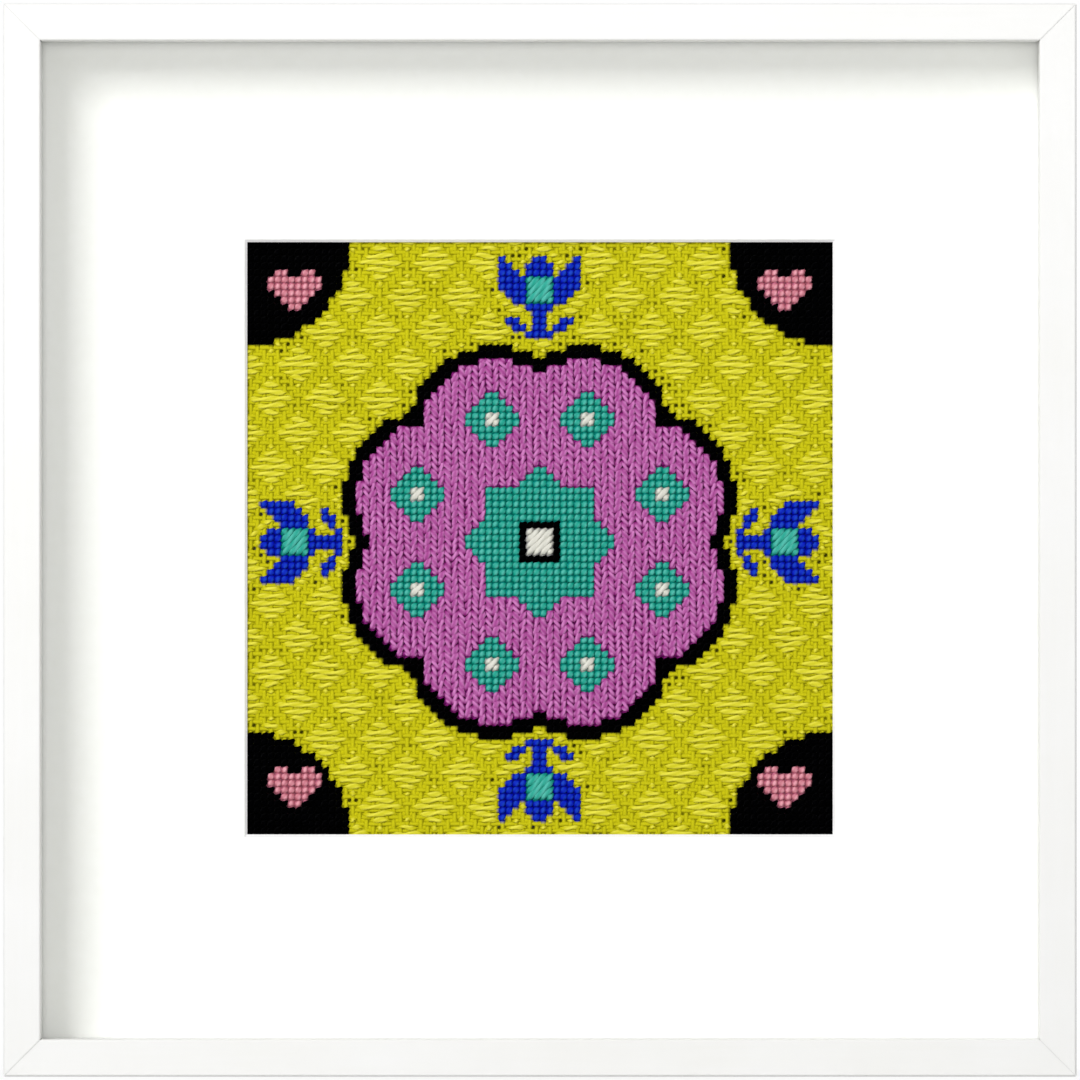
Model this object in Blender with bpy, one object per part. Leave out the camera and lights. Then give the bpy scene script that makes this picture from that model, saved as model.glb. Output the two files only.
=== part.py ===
"""Needlepoint canvas panel in a square white box frame, standing upright on its bottom rail.

The stitched canvas is one flat sheet. A card mat with a bevelled window lies on it, and both sit with a
hardboard backing in the rabbet behind four mitred rails, so that the picture lies deep inside the frame.
Metres, +Z up. X runs along the frame's width, the front faces -Y, and the origin is the middle of the
footprint.
"""

from math import copysign, pi

import bmesh
import bpy
from mathutils import Vector

# Canvas gauge and the counts of threads that set the panel's sizes. The margins run on under the mat
INCH = 0.0254
THREADS_PER_INCH = 13
THREAD_PITCH = INCH / THREADS_PER_INCH
WINDOW_THREADS_ACROSS = 86
WINDOW_THREADS_HIGH = 87
STITCHED_MARGIN_THREADS = 2
CANVAS_MARGIN_THREADS = 10

# Frame of four mitred rails
OUTER_SIDE = 0.307
DEPTH = 0.040
FACE_WIDTH = 0.0106
RECESS_DEPTH = 0.028
LEDGE_WIDTH = 0.0053
EDGE_RADIUS = 0.0006
EDGE_SEGMENTS = 3

# Sheets in the rabbet, from the front to the back
MAT_THICKNESS = 0.0008
WINDOW_BEVEL = 0.0008
WINDOW_RISE = 0.0005
CANVAS_THICKNESS = 0.001
STITCHED_THICKNESS = 0.002
STITCHED_SLOPE = 0.0008
BACKING_THICKNESS = 0.003
BACKING_EDGE = 0.0003

# Clearance between pieces that touch
GAP = 0.0003

# Worked out from the sizes above
WINDOW_WIDTH = WINDOW_THREADS_ACROSS * THREAD_PITCH
WINDOW_HEIGHT = WINDOW_THREADS_HIGH * THREAD_PITCH
CANVAS_WIDTH = WINDOW_WIDTH + 2 * CANVAS_MARGIN_THREADS * THREAD_PITCH
CANVAS_HEIGHT = WINDOW_HEIGHT + 2 * CANVAS_MARGIN_THREADS * THREAD_PITCH
RABBET_SIDE = OUTER_SIDE - 2 * (FACE_WIDTH - LEDGE_WIDTH)
SHEET_SIDE = RABBET_SIDE - 2 * GAP
FRONT_Y = -DEPTH / 2
LEDGE_Y = FRONT_Y + RECESS_DEPTH
MAT_Y = LEDGE_Y + GAP
STITCHED_Y = MAT_Y + MAT_THICKNESS + GAP
CANVAS_Y = STITCHED_Y + STITCHED_THICKNESS - CANVAS_THICKNESS
BACKING_Y = STITCHED_Y + STITCHED_THICKNESS + GAP
CENTRE = Vector((0, 0, OUTER_SIDE / 2))
WINDOW_CENTRE = CENTRE + Vector((0, 0, WINDOW_RISE))

# Each rail is the bottom rail turned about the frame's centre line by this many quarter turns
RAIL_TURNS = {"rail_bottom": 0, "rail_left": 1, "rail_top": 2, "rail_right": 3}


def clear_scene():
    """Removes every object of the scene that the script starts in."""
    for obj in list(bpy.data.objects):
        bpy.data.objects.remove(obj, do_unlink=True)


def make_collection(name):
    """A new collection under the scene's own."""
    collection = bpy.data.collections.new(name)
    bpy.context.scene.collection.children.link(collection)
    return collection


def make_material(name, colour, roughness, metallic=0.0):
    """A Principled material of one colour."""
    material = bpy.data.materials.new(name)
    material.use_nodes = True
    shader = material.node_tree.nodes["Principled BSDF"]
    shader.inputs["Base Color"].default_value = (*colour, 1)
    shader.inputs["Roughness"].default_value = roughness
    shader.inputs["Metallic"].default_value = metallic
    material.diffuse_color = (*colour, 1)
    return material


def new_box(width, height, front_y, thickness):
    """A bmesh box about the frame's centre line, from front_y back by thickness."""
    bm = bmesh.new()
    bmesh.ops.create_cube(bm, size=1)
    bmesh.ops.scale(bm, vec=(width, thickness, height), verts=bm.verts)
    bmesh.ops.translate(bm, vec=(0, front_y + thickness / 2, 0), verts=bm.verts)
    return bm


def finish_mesh(bm, name):
    """Turns a bmesh into a mesh with its faces pointing out."""
    bmesh.ops.recalc_face_normals(bm, faces=bm.faces)
    mesh = bpy.data.meshes.new(name)
    bm.to_mesh(mesh)
    bm.free()
    return mesh


def place(mesh, name, collection, material=None, quarter_turns=0, centre=CENTRE):
    """An object that holds the mesh at a centre, turned about the line of sight."""
    obj = bpy.data.objects.new(name, mesh)
    obj.location = centre
    obj.rotation_euler.y = quarter_turns * pi / 2
    if material and not mesh.materials:
        mesh.materials.append(material)
    collection.objects.link(obj)
    return obj


def make_cutter(mesh, name, collection, centre=CENTRE):
    """A hidden object that only cuts others."""
    cutter = place(mesh, name, collection, centre=centre)
    cutter.hide_render = True
    cutter.display_type = "WIRE"
    return cutter


def cut(obj, cutter):
    """Subtracts the cutter from the object."""
    boolean = obj.modifiers.new(cutter.name, "BOOLEAN")
    boolean.operation = "DIFFERENCE"
    boolean.object = cutter


def faces_towards(bm, direction):
    """The faces whose normals point along the direction."""
    return [face for face in bm.faces if face.normal.dot(direction) > 0.99]


def long_edges(bm, direction):
    """The edges that run along the direction."""
    return [
        edge for edge in bm.edges
        if abs((edge.verts[0].co - edge.verts[1].co).normalized().dot(direction)) > 0.99
    ]


def rail_mesh():
    """The bottom rail about the frame's centre: a square bar with eased edges and mitred ends.

    Each mitre plane runs through the frame's centre line at 45 degrees, drawn in by half a gap.
    """
    bm = new_box(OUTER_SIDE, FACE_WIDTH, FRONT_Y, DEPTH)
    bmesh.ops.translate(bm, vec=(0, 0, (FACE_WIDTH - OUTER_SIDE) / 2), verts=bm.verts)
    bmesh.ops.bevel(
        bm,
        geom=long_edges(bm, Vector((1, 0, 0))),
        offset=EDGE_RADIUS,
        segments=EDGE_SEGMENTS,
        profile=0.5,
        affect="EDGES",
    )
    for side in (-1, 1):
        outward = Vector((side, 0, 1)).normalized()
        geometry = bm.verts[:] + bm.edges[:] + bm.faces[:]
        cut_away = bmesh.ops.bisect_plane(
            bm, geom=geometry, plane_co=-outward * GAP / 2, plane_no=outward, clear_outer=True
        )
        rim = [item for item in cut_away["geom_cut"] if isinstance(item, bmesh.types.BMEdge)]
        bmesh.ops.holes_fill(bm, edges=rim)
    return finish_mesh(bm, "mitred_rail")


def rabbet_mesh():
    """The square step behind the ledge, run out past the rear of the rails."""
    length = DEPTH - RECESS_DEPTH
    return finish_mesh(new_box(RABBET_SIDE, RABBET_SIDE, LEDGE_Y, 2 * length), "rabbet")


def window_mesh():
    """A tapered block as deep as three mats. Its walls slope by WINDOW_BEVEL over one mat."""
    bm = new_box(WINDOW_WIDTH, WINDOW_HEIGHT, MAT_Y - MAT_THICKNESS, 3 * MAT_THICKNESS)
    middle_y = MAT_Y + MAT_THICKNESS / 2
    for vert in bm.verts:
        steps = 2 if vert.co.y < middle_y else -1
        vert.co.x += steps * copysign(WINDOW_BEVEL, vert.co.x)
        vert.co.z += steps * copysign(WINDOW_BEVEL, vert.co.z)
    return finish_mesh(bm, "window")


def canvas_mesh():
    """The flat canvas, with the stitched field standing forward of its bare margin."""
    bm = new_box(CANVAS_WIDTH, CANVAS_HEIGHT, CANVAS_Y, CANVAS_THICKNESS)
    forward = Vector((0, -1, 0))
    margin = (CANVAS_MARGIN_THREADS - STITCHED_MARGIN_THREADS) * THREAD_PITCH
    rise = STITCHED_THICKNESS - CANVAS_THICKNESS
    bmesh.ops.inset_region(bm, faces=faces_towards(bm, forward), thickness=margin, depth=0)
    field = max(faces_towards(bm, forward), key=lambda face: -face.calc_center_median().length)
    bmesh.ops.inset_region(bm, faces=[field], thickness=STITCHED_SLOPE, depth=rise)
    return finish_mesh(bm, "stitched_canvas")


def backing_mesh():
    """A hardboard panel with all its edges slightly eased."""
    bm = new_box(SHEET_SIDE, SHEET_SIDE, BACKING_Y, BACKING_THICKNESS)
    bmesh.ops.bevel(bm, geom=bm.edges[:], offset=BACKING_EDGE, segments=1, affect="EDGES")
    return finish_mesh(bm, "backing_board")


def make_rails(parts, cutters):
    """The four rails, all with the same mesh and the same rabbet."""
    paint = make_material("white_painted_wood", (0.79, 0.79, 0.78), 0.42)
    rabbet = make_cutter(rabbet_mesh(), "rabbet_cutter", cutters)
    mesh = rail_mesh()
    for name, quarter_turns in RAIL_TURNS.items():
        cut(place(mesh, name, parts, paint, quarter_turns), rabbet)


def make_mat(parts, cutters):
    """The card mat with its window."""
    card = make_material("white_card", (0.92, 0.92, 0.91), 0.9)
    window = make_cutter(window_mesh(), "window_cutter", cutters, WINDOW_CENTRE)
    board = finish_mesh(new_box(SHEET_SIDE, SHEET_SIDE, MAT_Y, MAT_THICKNESS), "mat_board")
    cut(place(board, "mat", parts, card), window)


def make_needlepoint(parts):
    """The stitched canvas."""
    yarn = make_material("yarn_on_canvas", (0.62, 0.57, 0.02), 0.95)
    place(canvas_mesh(), "needlepoint", parts, yarn, centre=WINDOW_CENTRE)


def make_backing(parts):
    """The board that closes the back."""
    hardboard = make_material("hardboard", (0.24, 0.13, 0.06), 0.75)
    place(backing_mesh(), "backing", parts, hardboard)


def main():
    """Builds the framed panel."""
    clear_scene()
    parts = make_collection("needlepoint_panel")
    cutters = make_collection("cutters")
    make_rails(parts, cutters)
    make_mat(parts, cutters)
    make_needlepoint(parts)
    make_backing(parts)


main()
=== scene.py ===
"""Looks of a needlepoint canvas panel in a square white box frame.

The panel is worked on mono canvas: a darned diamond ground, a scalloped medallion in knitting stitch, a
quilt star, lozenges, tulips and hearts in tent stitch, and small satin squares. Every stitch is its own
closed tube of yarn, joined with the others of its colour. They lie over real canvas threads, which lie
on a thin painted sheet.

Stitches are worked out in canvas coordinates (u, v, w), counted in threads: u to the right, v up and w
towards the viewer. u and v are whole numbers at the holes, and canvas threads run midway between them.
"""

from __future__ import annotations

import logging
import math
from collections.abc import Iterable
from dataclasses import dataclass, field
from enum import IntEnum

import bpy
import numpy as np
from mathutils import Euler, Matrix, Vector
from numpy.typing import NDArray

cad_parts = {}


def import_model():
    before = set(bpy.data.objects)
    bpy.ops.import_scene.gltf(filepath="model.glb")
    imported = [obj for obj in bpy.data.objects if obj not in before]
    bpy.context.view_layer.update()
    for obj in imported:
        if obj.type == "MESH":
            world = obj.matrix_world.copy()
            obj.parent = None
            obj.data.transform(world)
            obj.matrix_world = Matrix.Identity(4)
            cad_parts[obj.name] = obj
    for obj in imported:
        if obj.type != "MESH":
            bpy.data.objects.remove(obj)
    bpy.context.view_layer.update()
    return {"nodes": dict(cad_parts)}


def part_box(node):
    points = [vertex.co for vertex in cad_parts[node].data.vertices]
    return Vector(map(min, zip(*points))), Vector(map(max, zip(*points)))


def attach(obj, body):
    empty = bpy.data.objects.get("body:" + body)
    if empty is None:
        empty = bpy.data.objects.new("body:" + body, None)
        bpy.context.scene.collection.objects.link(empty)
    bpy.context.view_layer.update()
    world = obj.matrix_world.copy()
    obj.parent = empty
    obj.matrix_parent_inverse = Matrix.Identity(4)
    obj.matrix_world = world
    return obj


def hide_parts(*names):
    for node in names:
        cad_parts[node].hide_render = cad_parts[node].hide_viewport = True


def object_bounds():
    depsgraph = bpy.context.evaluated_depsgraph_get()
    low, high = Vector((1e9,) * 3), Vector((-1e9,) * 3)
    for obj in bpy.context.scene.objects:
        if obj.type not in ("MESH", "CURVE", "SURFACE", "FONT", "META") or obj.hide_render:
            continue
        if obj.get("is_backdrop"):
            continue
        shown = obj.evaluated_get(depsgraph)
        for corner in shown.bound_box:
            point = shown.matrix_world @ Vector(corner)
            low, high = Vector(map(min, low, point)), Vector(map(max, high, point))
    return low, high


Array = NDArray[np.float64]
Colour = tuple[float, float, float]

INCH = 0.0254
SEED = 1307
YARN_UV = "AlongYarn"
END_RINGS = 4  # rings that a long stitch has beside those for each thread of its length
EVENNESS = 0.6  # share of a stitch's rings that stand evenly; the rest crowd towards its ends
PLY_TURNS = -0.18  # turns of the two plies for each canvas thread of yarn; below 0 they wind like an S

log = logging.getLogger("needlepoint")


def srgb(red: int, green: int, blue: int) -> Colour:
    """Linear colour of a display colour given in steps of 0 to 255."""
    shares = (red / 255, green / 255, blue / 255)
    return tuple(s / 12.92 if s <= 0.04045 else ((s + 0.055) / 1.055) ** 2.4 for s in shares)


def smoothstep(x: Array) -> Array:
    """3 x^2 - 2 x^3 between 0 and 1, held outside them."""
    x = np.clip(x, 0.0, 1.0)
    return x * x * (3 - 2 * x)


# ---------------------------------------------------------------------------------------------------
# Meshes from arrays
# ---------------------------------------------------------------------------------------------------


@dataclass
class Surface:
    """A mesh as arrays, before Blender gets it."""

    points: Array
    faces: list[NDArray[np.int64]]
    uvs: list[Array] = field(default_factory=list)
    values: dict[str, Array] = field(default_factory=dict)

    def to_object(self, name: str, smooth: bool = True) -> bpy.types.Object:
        """Writes the arrays into a mesh.

        Args:
            name: The piece's name.
            smooth: Whether its faces are shaded smooth.

        Returns:
            The new object, linked to the scene and standing at the origin.
        """
        mesh = bpy.data.meshes.new(name)
        corners = np.concatenate([block.ravel() for block in self.faces])
        sizes = np.concatenate([np.full(len(block), block.shape[1]) for block in self.faces])
        mesh.vertices.add(len(self.points))
        mesh.vertices.foreach_set("co", self.points.astype(np.float32).ravel())
        mesh.loops.add(len(corners))
        mesh.loops.foreach_set("vertex_index", corners.astype(np.int32))
        mesh.polygons.add(len(sizes))
        starts = np.concatenate([[0], np.cumsum(sizes)[:-1]])
        mesh.polygons.foreach_set("loop_start", starts.astype(np.int32))
        mesh.polygons.foreach_set("use_smooth", np.full(len(sizes), smooth))
        if self.uvs:
            layer = mesh.uv_layers.new(name=YARN_UV)
            flat = np.concatenate([block.reshape(-1, 2) for block in self.uvs])
            layer.data.foreach_set("uv", flat.astype(np.float32).ravel())
        for label, value in self.values.items():
            kind, key = ("FLOAT", "value") if value.ndim == 1 else ("FLOAT_COLOR", "color")
            attribute = mesh.attributes.new(label, kind, "POINT")
            attribute.data.foreach_set(key, value.astype(np.float32).ravel())
        mesh.update(calc_edges=True)
        mesh.validate()
        made = bpy.data.objects.new(name, mesh)
        bpy.context.scene.collection.objects.link(made)
        return made


def joined(surfaces: list[Surface]) -> Surface:
    """One surface that holds several, each kept whole."""
    offsets = np.cumsum([0] + [len(s.points) for s in surfaces])
    faces, uvs = [], []
    for surface, offset in zip(surfaces, offsets):
        faces += [block + offset for block in surface.faces]
        uvs += surface.uvs
    values = {
        label: np.concatenate([s.values[label] for s in surfaces]) for label in surfaces[0].values
    }
    return Surface(np.concatenate([s.points for s in surfaces]), faces, uvs, values)


def tube_faces(count: int, rings: int, sides: int) -> tuple[NDArray[np.int64], NDArray[np.int64]]:
    """Corner indices for closed tubes whose points are rings x sides and then the two tips.

    Args:
        count: How many tubes.
        rings: Rings along each one.
        sides: Points in a ring, which turn anticlockwise seen from the last end.

    Returns:
        The quads, in the order (tube, ring, side), and the triangles of the first and last ends.
    """
    ring, around = np.meshgrid(np.arange(rings - 1), np.arange(sides), indexing="ij")
    after = (around + 1) % sides
    near, far = ring * sides, (ring + 1) * sides
    quads = np.stack([near + around, near + after, far + after, far + around], axis=-1).reshape(-1, 4)
    turn = np.arange(sides)
    following = (turn + 1) % sides
    last, tip = (rings - 1) * sides, np.full(sides, rings * sides)
    caps = np.concatenate(
        [
            np.stack([tip, following, turn], axis=1),
            np.stack([tip + 1, last + turn, last + following], axis=1),
        ]
    )
    base = (np.arange(count) * (rings * sides + 2))[:, None, None]
    return (quads + base).reshape(-1, 4), (caps + base).reshape(-1, 3)


def swept_profile(outline: Array, start: Array, step: Array) -> Surface:
    """A flat outline carried along a straight path, closed by its two ends.

    Point (i, t) is outline[i] + start + t step, for t of 0 and 1. The outline runs anticlockwise seen
    from the side that step points to.

    Args:
        outline: Corners in space, one row each.
        start: Where the outline's origin begins.
        step: The path from the first end to the last.

    Returns:
        A closed prism.
    """
    count = len(outline)
    near, far = outline + start, outline + start + step
    index = np.arange(count)
    after = (index + 1) % count
    walls = np.stack([index, after, after + count, index + count], axis=1)
    ends = np.stack([index[::-1], index + count])
    return Surface(np.concatenate([near, far]), [walls, ends])


def closed_grid(front: Array, back: Array) -> Surface:
    """A thin closed sheet between two grids of points of the same shape, joined round their rims.

    Args:
        front: Points (columns, rows, 3) whose faces look along the cross product of columns and rows.
        back: The matching points behind them.

    Returns:
        The closed sheet.
    """
    columns, rows = front.shape[:2]
    index = np.arange(columns * rows).reshape(columns, rows)
    cells = np.stack(
        [index[:-1, :-1], index[1:, :-1], index[1:, 1:], index[:-1, 1:]], axis=-1
    ).reshape(-1, 4)
    rim = np.concatenate([index[:, 0], index[-1, 1:], index[-2::-1, -1], index[0, -2:0:-1]])
    after = np.roll(rim, -1)
    count = columns * rows
    edge = np.stack([after, rim, rim + count, after + count], axis=1)
    return Surface(
        np.concatenate([front.reshape(-1, 3), back.reshape(-1, 3)]),
        [cells, cells[:, ::-1] + count, edge],
    )


# ---------------------------------------------------------------------------------------------------
# The canvas and its chart
# ---------------------------------------------------------------------------------------------------


@dataclass(frozen=True)
class Gauge:
    """The canvas count and where the canvas hangs.

    Attributes:
        height: Height of the canvas's middle.
        plane: Y of the canvas threads' mid-plane.
        pitch: From one canvas thread to the next.
        window: Threads across and up that show in the mat's window.
        hidden: Threads of stitching that run on under the mat, on each side.
        bare: Threads of bare canvas beyond them.
    """

    height: float
    plane: float
    pitch: float = INCH / 13
    window: tuple[int, int] = (86, 87)
    hidden: int = 2
    bare: int = 8

    @property
    def stitched(self) -> tuple[int, int]:
        """Threads across and up the stitched field. Its lower left corner is u = v = 0."""
        return self.window[0] + 2 * self.hidden, self.window[1] + 2 * self.hidden

    @property
    def sides(self) -> tuple[float, float]:
        """Width and height of the whole canvas in metres."""
        across, up = self.stitched
        return (across + 2 * self.bare) * self.pitch, (up + 2 * self.bare) * self.pitch

    def to_space(self, points: Array) -> Array:
        """Turns (u, v, w) into metres: X = (u - middle) pitch, Z likewise, Y = plane - w pitch."""
        u, v, w = np.moveaxis(points, -1, 0)
        across, up = self.stitched
        return np.stack(
            [
                (u - across / 2) * self.pitch,
                self.plane - w * self.pitch,
                self.height + (v - up / 2) * self.pitch,
            ],
            axis=-1,
        )


class Area(IntEnum):
    """What covers one crossing of the canvas."""

    GROUND = 0
    ORCHID = 1
    BLACK = 2
    TEAL = 3
    BLUE = 4
    PINK = 5
    CREAM_SATIN = 6
    TEAL_SATIN = 7


PAINT: dict[Area, Colour] = {
    Area.GROUND: srgb(191, 186, 14),
    Area.ORCHID: srgb(132, 28, 106),
    Area.BLACK: srgb(2, 2, 3),
    Area.TEAL: srgb(6, 146, 126),
    Area.BLUE: srgb(3, 18, 150),
    Area.PINK: srgb(204, 116, 130),
    Area.CREAM_SATIN: srgb(172, 171, 161),
    Area.TEAL_SATIN: srgb(4, 118, 100),
}

# Letters of the charts below, which are drawn from the top down. The satin ones form one square
LETTERS = {"b": Area.BLUE, "t": Area.TEAL_SATIN, "p": Area.PINK}
SATIN_LETTER = "t"

TULIP = (
    "b....bb....b",
    "bb..bbbb..bb",
    "bbb.bbbb.bbb",
    "bbbbttttbbbb",
    "bbbbttttbbbb",
    ".bbbttttbbb.",
    "..bbttttbb..",
    "....bbbb....",
    ".....bb.....",
    ".bb..bb..bb.",
    "..bb.bb.bb..",
    "....bbbb....",
)

HEART = (
    ".pp..pp.",
    "pppppppp",
    "pppppppp",
    ".pppppp.",
    "..pppp..",
    "...pp...",
)


@dataclass(frozen=True)
class SatinSquare:
    """Lower left hole, side and kind of one satin square."""

    u: int
    v: int
    side: int
    area: Area


@dataclass
class Design:
    """The chart: a scalloped medallion round a quilt star, with tulips and corner rounds outside it.

    Attributes:
        gauge: The canvas count. All other sizes are in threads.
        lobe_count: Scallops round the medallion.
        cusp_radius: From the middle to where two scallops meet.
        lobe_rise: How far a scallop stands out beyond that.
        lobe_fullness: Below 1 the scallops are fuller and their cusps sharper.
        outline: Width of the black line round the medallion.
        star_square: Half the side of the quilt star's upright square.
        star_point: From its middle to the points of its slanted square.
        star_core: Half the side of the black square in it.
        star_satin: Side of the satin square in that.
        lozenge_point: From a lozenge's middle to its points.
        lozenge_satin: Side of the satin square in it.
        lozenge_ring: From the medallion's middle to those of the lozenges, one in each scallop.
        corner_radius: Of the black quarter rounds about the window's corners.
        tulip_inset: From the window's edges to the middles of the tulips.
        heart_inset: From the window's edges to the middles of the hearts.
    """

    gauge: Gauge
    lobe_count: int = 8
    cusp_radius: float = 24.5
    lobe_rise: float = 3.6
    lobe_fullness: float = 0.75
    outline: float = 2.0
    star_square: int = 8
    star_point: int = 11
    star_core: int = 3
    star_satin: int = 4
    lozenge_point: int = 4
    lozenge_satin: int = 2
    lozenge_ring: float = 19.0
    corner_radius: float = 15.0
    tulip_inset: int = 8
    heart_inset: int = 7

    def __post_init__(self) -> None:
        """Fills the chart and notes where the satin squares are."""
        across, up = self.gauge.stitched
        self.middle = (across // 2, up // 2)
        self.cells: NDArray[np.int64] = np.full((across, up), int(Area.GROUND))
        self.satin: list[SatinSquare] = []
        self._medallion()
        self._star()
        self._lozenges()
        self._tulips()
        self._corners()

    def crossings(self) -> tuple[Array, Array]:
        """The u and v of every crossing."""
        across, up = self.gauge.stitched
        return np.meshgrid(np.arange(across) + 0.5, np.arange(up) + 0.5, indexing="ij")

    def offsets(self) -> tuple[Array, Array]:
        """How far each crossing lies from the design's middle, to the right and up."""
        u, v = self.crossings()
        return u - self.middle[0], v - self.middle[1]

    def inset_lines(self, inset: int) -> tuple[tuple[int, int], tuple[int, int]]:
        """The u on the left and right, and the v below and above, this far inside the window."""
        near = self.gauge.hidden + inset
        across, up = self.gauge.stitched
        return (near, across - near), (near, up - near)

    def _medallion(self) -> None:
        """Edge radius is cusp_radius + lobe_rise |sin(lobe_count angle / 2)| ^ lobe_fullness."""
        right, up = self.offsets()
        angle = np.arctan2(up, right)
        lobe = np.abs(np.sin(self.lobe_count * angle / 2)) ** self.lobe_fullness
        edge = self.cusp_radius + self.lobe_rise * lobe
        radius = np.hypot(right, up)
        self.cells[radius <= edge + self.outline] = Area.BLACK
        self.cells[radius <= edge] = Area.ORCHID

    def _square(self, right: int, up: int, side: int) -> None:
        """A cream satin square about a hole, counted from the design's middle."""
        u = self.middle[0] + right - side // 2
        v = self.middle[1] + up - side // 2
        self.cells[u:u + side, v:v + side] = Area.CREAM_SATIN
        self.satin.append(SatinSquare(u, v, side, Area.CREAM_SATIN))

    def _star(self) -> None:
        """The eight-pointed quilt star: an upright square laid over a slanted one."""
        across, along = (np.abs(offset) for offset in self.offsets())
        upright = np.maximum(across, along)
        self.cells[(upright < self.star_square) | (across + along <= self.star_point)] = Area.TEAL
        self.cells[upright < self.star_core] = Area.BLACK
        self._square(0, 0, self.star_satin)

    def _lozenges(self) -> None:
        """One lozenge in the middle of each scallop."""
        across, along = self.offsets()
        for place in range(self.lobe_count):
            angle = (place + 0.5) * 2 * math.pi / self.lobe_count
            right = round(self.lozenge_ring * math.cos(angle))
            up = round(self.lozenge_ring * math.sin(angle))
            inside = np.abs(across - right) + np.abs(along - up) <= self.lozenge_point
            self.cells[inside] = Area.TEAL
            self._square(right, up, self.lozenge_satin)

    def _stamp(self, motif: tuple[str, ...], u: int, v: int, turns: int = 0) -> None:
        """Lays a charted motif on the cells.

        Args:
            motif: Its rows of letters from the top down.
            u: The hole that its middle lies on.
            v: Likewise.
            turns: Quarter turns anticlockwise.
        """
        letters = np.rot90(np.array([list(row) for row in motif]), turns)[::-1].T
        columns, rows = letters.shape
        first, lowest = u - columns // 2, v - rows // 2
        view = self.cells[first:first + columns, lowest:lowest + rows]
        for letter, area in LETTERS.items():
            view[letters == letter] = area
        satin = np.argwhere(letters == SATIN_LETTER)
        if len(satin):
            left, bottom = (int(value) for value in satin.min(axis=0))
            side = int(np.ptp(satin[:, 0])) + 1
            self.satin.append(SatinSquare(first + left, lowest + bottom, side, Area.TEAL_SATIN))

    def _tulips(self) -> None:
        """Four tulips that grow outwards from the medallion's cusps."""
        (left, right), (low, high) = self.inset_lines(self.tulip_inset)
        u, v = self.middle
        for turns, (x, z) in enumerate(((u, high), (left, v), (u, low), (right, v))):
            self._stamp(TULIP, x, z, turns)

    def _corners(self) -> None:
        """Black quarter rounds about the window's corners, each with a heart."""
        (left, right), (low, high) = self.inset_lines(0)
        u, v = self.crossings()
        from_side = np.minimum(u - left, right - u).clip(0)
        from_end = np.minimum(v - low, high - v).clip(0)
        self.cells[np.hypot(from_side, from_end) <= self.corner_radius] = Area.BLACK
        columns, rows = self.inset_lines(self.heart_inset)
        for u in columns:
            for v in rows:
                self._stamp(HEART, u, v)

    def paint_at(self, u: Array, v: Array) -> Array:
        """The painted canvas's colour at each (u, v), as red, green, blue and 1."""
        across, up = self.gauge.stitched
        column = np.clip(np.floor(u), 0, across - 1).astype(int)
        row = np.clip(np.floor(v), 0, up - 1).astype(int)
        table = np.array([(*PAINT[area], 1.0) for area in Area])
        return table[self.cells[column, row]]


# ---------------------------------------------------------------------------------------------------
# Yarn
# ---------------------------------------------------------------------------------------------------


@dataclass(frozen=True)
class Lay:
    """How a stitch lies, in threads.

    Attributes:
        half_width: Half the yarn's width on top of the stitch.
        half_height: Half its thickness there.
        crest: Height of its middle above the canvas's mid-plane.
        dive: Height of its middle in the first hole and in the last one.
        lead: How far from an end it takes to rise.
        narrowing: Its width at the two ends, as a share of its full width.
        inset: How far its ends stay from the middle of the hole.
        swell: How much higher it stands at each hole that it passes.
        pull: Share of its height that a stitch over one thread loses. Longer ones lose less.
        wander: Spread of the random sideways bow and tilt.
        loft: Spread of the random change in thickness, as a share.
        ply_depth: Depth of the groove between the two plies, as a share.
        sides: Sides of the tube.
    """

    half_width: float
    half_height: float
    crest: float
    dive: tuple[float, float] = (-0.08, -0.08)
    lead: float = 0.6
    narrowing: tuple[float, float] = (0.55, 0.55)
    inset: float = 0.08
    swell: float = 0.0
    pull: float = 0.0
    wander: float = 0.03
    loft: float = 0.06
    ply_depth: float = 0.09
    sides: int = 7


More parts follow.
